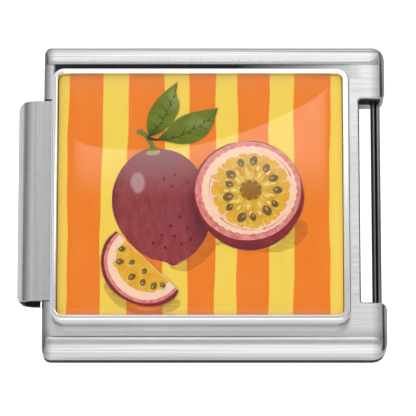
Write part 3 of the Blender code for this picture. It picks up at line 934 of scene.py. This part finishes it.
bark = paint("stem_green", (0.20, 0.235, 0.055), (0.10, 0.13, 0.03), stretch=(9000, 1500, 0), amount=0.7)
STEM = [(-1.38, 1.20), (-1.45, 1.42), (-1.60, 1.66), (-1.80, 1.79), (-1.74, 1.87), (-1.50, 1.74),
        (-1.36, 1.52), (-1.26, 1.20)]
laid(flat_shape("stem", [STEM], 5), bark)
straw = paint("calyx_straw", (0.48, 0.34, 0.09), (0.30, 0.24, 0.06), amount=0.6)
CALYX = [(-1.52, 1.19), (-1.40, 1.25), (-1.28, 1.23), (-1.16, 1.27), (-1.14, 1.19), (-1.30, 1.13),
         (-1.46, 1.12)]
laid(flat_shape("calyx", [CALYX], 6), straw)

# %% [markdown]
# ### The leaves
#
# Two leaves spring from the stem. They share one green, darker near the stem and lighter in the
# blades, and their veins are thin tapering strokes laid on top.

# %% Leaves
green = paint("leaf_green", (0.110, 0.150, 0.005), (0.19, 0.22, 0.02), stretch=even(3000), amount=0.75,
              speckle=0.2)
shade(green, (0.035, 0.075, 0.006), (-1.35, 1.62), (0.75, 0.5), 0.9, 0.9)
shade(green, (0.27, 0.33, 0.10), (-0.72, 2.75), (0.35, 0.5), 0.9, 0.7)
shade(green, (0.25, 0.31, 0.09), (-0.05, 2.05), (0.5, 0.25), 0.9, 0.7)
UPPER_LEAF = [(-1.46, 1.65), (-1.51, 2.10), (-1.35, 2.57), (-1.00, 2.97), (-0.64, 3.26), (-0.68, 2.92),
              (-0.59, 2.61), (-0.68, 2.25), (-1.00, 1.86), (-1.28, 1.70)]
LOWER_LEAF = [(-1.20, 1.59), (-0.98, 1.82), (-0.70, 2.13), (-0.38, 2.31), (0.02, 2.41), (0.50, 2.49),
              (0.41, 2.18), (0.25, 1.80), (-0.03, 1.55), (-0.43, 1.44), (-0.86, 1.49)]
leaf_tips = (UPPER_LEAF[0], UPPER_LEAF[4], LOWER_LEAF[0], LOWER_LEAF[5])
laid(flat_shape("leaves", [UPPER_LEAF, LOWER_LEAF], 7, tips=leaf_tips), green)

VEINS = [
    stroke([(-1.50, 1.60), (-1.30, 1.80), (-1.02, 2.22), (-0.80, 2.70), (-0.65, 3.16)], 0.032),
    stroke([(-1.46, 1.60), (-1.10, 1.56), (-0.62, 1.66), (-0.10, 1.92), (0.30, 2.22), (0.48, 2.46)], 0.036),
]
SIDE_VEINS = ((-1.22, 1.92, -0.20, 0.20), (-1.06, 2.16, -0.26, 0.22), (-0.95, 2.38, -0.20, 0.26),
              (-0.84, 2.62, -0.12, 0.22), (-1.14, 2.03, 0.22, 0.02), (-0.99, 2.28, 0.24, 0.08),
              (-0.87, 2.54, 0.20, 0.14), (-0.76, 2.80, 0.12, 0.10), (-0.80, 1.60, 0.12, 0.22),
              (-0.50, 1.71, 0.12, 0.30), (-0.20, 1.87, 0.10, 0.30), (0.08, 2.06, 0.10, 0.20),
              (-0.66, 1.65, 0.24, -0.12), (-0.34, 1.79, 0.30, -0.12), (-0.04, 1.97, 0.28, -0.10),
              (0.20, 2.14, 0.20, -0.06))
VEINS += [stroke([(x, y), (x + dx / 2, y + 0.58 * dy), (x + dx, y + dy)], 0.017)
          for x, y, dx, dy in SIDE_VEINS]
vein = paint("vein_green", (0.030, 0.045, 0.006), (0.05, 0.075, 0.01))
veins = [flat_shape(f"vein_{i}", [loop], 8, resolution=5) for i, loop in enumerate(VEINS)]
laid(join("leaf_veins", veins), vein)

# %% [markdown]
# ### The cut half
#
# From outside in: plum rind, a pink line, cream pith and the golden pulp, whose edge is scalloped
# because each seed sits in a sac of its own. The rind shows thickest along the bottom, where the
# half curves away from the eye.

# %% Rind, pink and pith of the half
def blob(x, y, half_width, half_height, bumps, depth, points, turn=0.0, phase=0.0):
    """An oval whose edge goes in and out a number of times."""
    loop = []
    for k in range(points):
        a = math.tau * k / points
        swell = 1 + depth * math.sin(bumps * a + phase) + 0.4 * depth * math.sin((bumps + 3) * a + 2 * phase)
        loop.append(turned(x, y, half_width * swell * math.cos(a), half_height * swell * math.sin(a), turn))
    return loop


def scallops(x, y, half_width, half_height, count, depth):
    """An oval whose edge is a row of round lobes with narrow notches between them."""
    loop = []
    for k in range(count * 6):
        a = math.tau * k / (count * 6)
        swell = 1 - depth * (1 - abs(math.sin(count * a / 2))) ** 2 + 0.015 * math.sin(3 * a)
        loop.append((x + half_width * swell * math.cos(a), y + half_height * swell * math.sin(a)))
    return loop


HALF_RIND = [(1.16, 1.50), (1.72, 1.49), (2.22, 1.26), (2.62, 0.84), (2.86, 0.28), (2.90, -0.26),
             (2.66, -0.86), (2.26, -1.32), (1.72, -1.58), (1.16, -1.60), (0.62, -1.40), (0.20, -1.02),
             (-0.10, -0.52), (-0.22, 0.02), (-0.16, 0.48), (0.08, 0.92), (0.56, 1.33)]
rind = paint("rind_plum", (0.19, 0.010, 0.018), (0.27, 0.035, 0.045), stretch=even(3000), amount=0.6,
             speckle=0.25)
shade(rind, (0.10, 0.015, 0.028), (0.95, -1.75), (2.0, 0.45), 0.9, 0.8)
laid(flat_shape("half_rind", [HALF_RIND], 9), rind)

pink = paint("pink_pith", (0.60, 0.105, 0.105), (0.84, 0.42, 0.34),
             stretch=even(5200), amount=0.7, speckle=0.5)
laid(flat_shape("half_pink", [blob(1.345, 0.085, 1.490, 1.425, 9, 0.003, 40, 0.12)], 10), pink)
cream = paint("cream_pith", (0.93, 0.64, 0.45), (0.86, 0.38, 0.30),
              stretch=even(4200), amount=0.22, speckle=0.25)
laid(flat_shape("half_cream", [blob(1.375, 0.105, 1.335, 1.270, 37, 0.010, 148, 0.12, 0.7)], 11), cream)

# %% Pulp of the half
PULP = (1.42, 0.10)
gold = paint("golden_pulp", (0.74, 0.325, 0.012), (0.80, 0.50, 0.05),
             stretch=even(4000), amount=0.8, speckle=0.15)
shade(gold, (0.46, 0.22, 0.015), PULP, (0.75, 0.65), 0.9, 0.7)
laid(flat_shape("half_pulp", [scallops(*PULP, 1.11, 1.09, 19, 0.055)], 12, resolution=3), gold)

pith_lines = []
PITH_LINES = ((0.35, 1.0, 1.20), (2.75, 0.55, 1.17), (3.9, 0.9, 1.18), (5.0, 0.7, 1.20))
for i, (start, sweep, radius) in enumerate(PITH_LINES):
    arc = [polar(PULP, radius, start + sweep * k / 7, 0.97) for k in range(8)]
    pith_lines.append(flat_shape(f"pith_line_{i}", [stroke(arc, 0.026)], 13, resolution=3))
laid(join("pith_lines", pith_lines), pink)

SEED_COUNT = 13
SACS = [(math.tau * k / SEED_COUNT + 0.05 * math.sin(3 * k), 0.76 + 0.07 * math.sin(5 * k))
        for k in range(SEED_COUNT)]
sac_yellow = paint("sac_yellow", (0.66, 0.36, 0.012), (0.80, 0.56, 0.12), stretch=even(5000), amount=0.9)
sac_gold = paint("sac_gold", (0.60, 0.27, 0.006), (0.74, 0.44, 0.05), stretch=even(5000), amount=0.9)


def sac_ring(name, places, level, colour):
    """Juice sacs, each lying a hair above or below its neighbours so that they overlap cleanly."""
    ring = [flat_shape(f"{name}_{i}", [oval(*place)], level + 0.3 * (i % 3), resolution=4)
            for i, place in enumerate(places)]
    laid(join(name, ring), colour)


def around_pulp(places, half_width, half_height):
    """Ovals at the given angles and distances, each pointing away from the pulp's middle."""
    return [(*polar(PULP, r, a), half_width, half_height, a) for a, r in places]


between = [(a + math.pi / SEED_COUNT, 0.60 + 0.05 * math.sin(3 * a)) for a, r in SACS]
innermost = [(math.tau * k / 9 + 0.3, 0.43) for k in range(9)]
sac_ring("half_sacs", around_pulp(SACS, 0.23, 0.15), 13, sac_yellow)
sac_ring("half_sacs_between", around_pulp(between, 0.22, 0.12), 14, sac_gold)
sac_ring("half_sacs_inner", around_pulp(innermost, 0.16, 0.13), 15, sac_yellow)

glint_yellow = paint("sac_glint", (0.88, 0.68, 0.24), (0.80, 0.50, 0.08), stretch=even(9000), amount=0.7)
sac_glints = []
for i, (a, r) in enumerate(between + innermost):
    glint = oval(*polar(PULP, r + 0.05, a + 0.06), 0.085, 0.038, a)
    sac_glints.append(flat_shape(f"sac_glint_{i}", [glint], 16, resolution=3))
laid(join("sac_glints", sac_glints), glint_yellow)

# %% Core, fibres and seeds of the half
core_brown = paint("core_brown", (0.26, 0.105, 0.006), (0.36, 0.17, 0.012), stretch=even(7000), amount=0.8)
laid(flat_shape("half_core", [scallops(*PULP, 0.32, 0.30, 9, 0.30)], 16, resolution=4), core_brown)

FIBRE_COUNT = 12
fibres = []
for i in range(FIBRE_COUNT):
    a = math.tau * (i + 0.5 + 0.2 * math.sin(5 * i)) / FIBRE_COUNT
    inner = 0.92 + 0.06 * math.sin(7 * i)
    path = [polar(PULP, r, a + t) for r, t in ((1.12, 0.0), ((1.12 + inner) / 2, 0.02), (inner, -0.01))]
    fibres.append(flat_shape(f"fibre_{i}", [stroke(path, 0.045)], 16, resolution=4))
laid(join("half_fibres", fibres), cream)


def seed_set(name, places, level):
    """Dark seeds, each with a small glint laid on it."""
    seeds, glints = [], []
    for i, (x, y, turn, size) in enumerate(places):
        seed = blob(x, y, 0.126 * size, 0.096 * size, 1, 0.12, 10, turn, 1.2)
        glint = oval(*turned(x, y, -0.03 * size, 0.02 * size, turn), 0.05 * size, 0.028 * size, turn)
        seeds.append(flat_shape(f"{name}_{i}", [seed], level + 0.3 * (i % 2), resolution=4))
        glints.append(flat_shape(f"{name}_glint_{i}", [glint], level + 1, resolution=3))
    return join(name, seeds), join(name + "_glints", glints)


seed_brown = paint("seed_olive", (0.130, 0.072, 0.010), (0.26, 0.155, 0.035), stretch=even(9000), amount=0.8)
glint_olive = paint("seed_glint", (0.46, 0.36, 0.17), (0.30, 0.21, 0.08), amount=0.8)
HALF_SEEDS = [(*polar(PULP, r - 0.02 + 0.06 * math.sin(7 * i), a), a + 0.3 * math.sin(4 * i),
               1.05 + 0.15 * math.sin(3 * i)) for i, (a, r) in enumerate(SACS)]
half_seeds, half_glints = seed_set("half_seeds", HALF_SEEDS, 18)
laid(half_seeds, seed_brown)
laid(half_glints, glint_olive)

# %% [markdown]
# ### The wedge
#
# A wedge of the fruit lies in front, in the same order of layers, with its straight cut towards the
# whole fruit.

# %% Wedge
WEDGE_TIPS = ((-2.36, -1.08), (-0.60, -2.78))
WEDGE_BULGE = 1.09


def wedge_loop(inset, cut_inset):
    """The wedge's outline, moved in from its rind and from its straight cut."""
    (ax, ay), (bx, by) = WEDGE_TIPS
    along = Vector((bx - ax, by - ay)).normalized()
    out = Vector((along.y, -along.x))
    if out.x > 0:
        out = -out
    middle = Vector(((ax + bx) / 2, (ay + by) / 2))
    half = (Vector((bx, by)) - Vector((ax, ay))).length / 2
    arc = []
    for k in range(15):
        a = math.pi * k / 14
        reach = half - inset
        outwards = out * (0.93 * WEDGE_BULGE * reach) * math.sin(a) ** 0.86
        point = middle - along * reach * math.cos(a) + outwards
        arc.append(tuple(point + out * cut_inset * (1 - math.sin(a))))
    return arc


WEDGE_RIND = [WEDGE_TIPS[0], (-2.62, -1.34), (-2.76, -1.72), (-2.76, -2.16), (-2.60, -2.58), (-2.28, -2.92),
              (-1.86, -3.14), (-1.38, -3.22), (-0.98, -3.14), (-0.70, -2.96), WEDGE_TIPS[1], (-0.78, -2.66)]
laid(flat_shape("wedge_rind", [WEDGE_RIND], 16, tips=(*WEDGE_TIPS, WEDGE_RIND[-1])), rind)
WEDGE_LAYERS = (("wedge_pink", 0.05, 0.0, 17, pink), ("wedge_cream", 0.14, 0.0, 18, cream),
                ("wedge_pulp", 0.37, 0.02, 19, gold))
for name, inset, cut_inset, level, colour in WEDGE_LAYERS:
    loop = wedge_loop(inset, cut_inset)
    laid(flat_shape(name, [loop], level, tips=(loop[0], loop[-1])), colour)
WEDGE_SEEDS = [(-2.20, -1.60, 0.2, 0.8), (-2.26, -1.96, 0.1, 0.9), (-1.92, -1.98, 0.5, 0.7),
               (-1.92, -2.40, 0.6, 0.9), (-1.60, -2.56, 1.3, 0.8), (-1.56, -2.24, 1.2, 0.7),
               (-1.30, -2.66, 1.1, 0.85), (-1.06, -2.62, -0.6, 0.7)]
wedge_sacs = [(x - 0.03, y - 0.04, 0.17 * size, 0.125 * size, turn) for x, y, turn, size in WEDGE_SEEDS]
sac_ring("wedge_sacs", wedge_sacs, 20, sac_yellow)
wedge_seeds, wedge_glints = seed_set("wedge_seeds", WEDGE_SEEDS, 22)
laid(wedge_seeds, seed_brown)
laid(wedge_glints, glint_olive)

# %% [markdown]
# ## The resin
#
# Clear resin is poured over the picture until it stands a little proud, and its skin pulls it into a
# very shallow dome. A grid of small faces is drawn in at its corners to follow the pocket's rounded
# ones, bent into that dome, and extruded down to a flat base. Glass would hold back the light on its
# way to the picture, so for shadow rays and for light that the picture scatters the shader is plainly
# transparent. The resin is bonded to the print, with no air between them, so its underside shows no
# reflection of its own, and neither does the paint.

# %% Resin dome
resin_middle = (resin_low + resin_high) / 2
half_x, half_y = (resin_high.x - resin_low.x) / 2, (resin_high.y - resin_low.y) / 2
RESIN_CORNER = 0.16 * MM
DOME_DROP = 0.1 * MM
EDGE_DROP = 0.045 * MM
EDGE_SHARPNESS = 30
GRID = (72, 64)
deselect()
bpy.ops.mesh.primitive_grid_add(x_subdivisions=GRID[0], y_subdivisions=GRID[1], size=2.0,
                                location=(resin_middle.x, resin_middle.y, resin_high.z))
dome = bpy.context.object
dome.scale = (half_x, half_y, 1)
dome.name = dome.data.name = "resin_dome"
bpy.ops.object.transform_apply(location=True, rotation=True, scale=True)
for v in dome.data.vertices:
    out_x, out_y = v.co.x - resin_middle.x, v.co.y - resin_middle.y
    u, w = out_x / half_x, out_y / half_y
    past_x, past_y = abs(out_x) - (half_x - RESIN_CORNER), abs(out_y) - (half_y - RESIN_CORNER)
    if past_x > 0 and past_y > 0:
        pull = max(past_x, past_y) / math.hypot(past_x, past_y)
        v.co.x -= math.copysign(past_x * (1 - pull), out_x)
        v.co.y -= math.copysign(past_y * (1 - pull), out_y)
    v.co.z -= DOME_DROP * (u * u + w * w) + EDGE_DROP * max(abs(u), abs(w)) ** EDGE_SHARPNESS
choose(dome)
bpy.ops.object.mode_set(mode="EDIT")
bpy.ops.mesh.select_all(action="SELECT")
bpy.ops.mesh.extrude_region_move(TRANSFORM_OT_translate={"value": (0, 0, -0.05 * MM)})
bpy.ops.object.mode_set(mode="OBJECT")
for v in dome.data.vertices:
    if v.select:
        v.co.z = resin_low.z + 0.005 * MM
face_outwards(dome)
bpy.ops.object.shade_smooth_by_angle(angle=math.radians(30))

clear = Finish("clear_resin", roughness=0.0, Base_Color=(1, 1, 1, 1), Transmission_Weight=1.0, IOR=1.5)
wear = clear.use(marks, Position=clear.position, Scale=600.0, Fineness=0.006)
clear.bump(wear["Smudges"], 0.0006 * MM, 0.5)
path = clear.step("LightPath")
through = clear.step("BsdfTransparent")
lit_from_below = clear.maths("MAXIMUM", path.outputs["Is Shadow Ray"], path.outputs["Is Diffuse Ray"])
choice = clear.step("MixShader", n0=lit_from_below, n1=clear.shader.outputs[0], n2=through.outputs[0])
clear.tree.links.new(choice.outputs[0], clear.tree.nodes["Material Output"].inputs["Surface"])
clear.on(dome)

bonded = Finish("bonded_face", roughness=0.5, Alpha=0.0)
dome.data.materials.append(bonded.material)
underside = [face for face in dome.data.polygons if face.normal.z < -0.9]
for face in underside:
    face.material_index = 1
print("Faces bonded to the print:", len(underside))
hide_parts("resin_cover")
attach(dome, "link_body")
report(dome)

# %% [markdown]
# ## Finish
#
# At the end, everything is deselected.

# %% Finish
deselect()
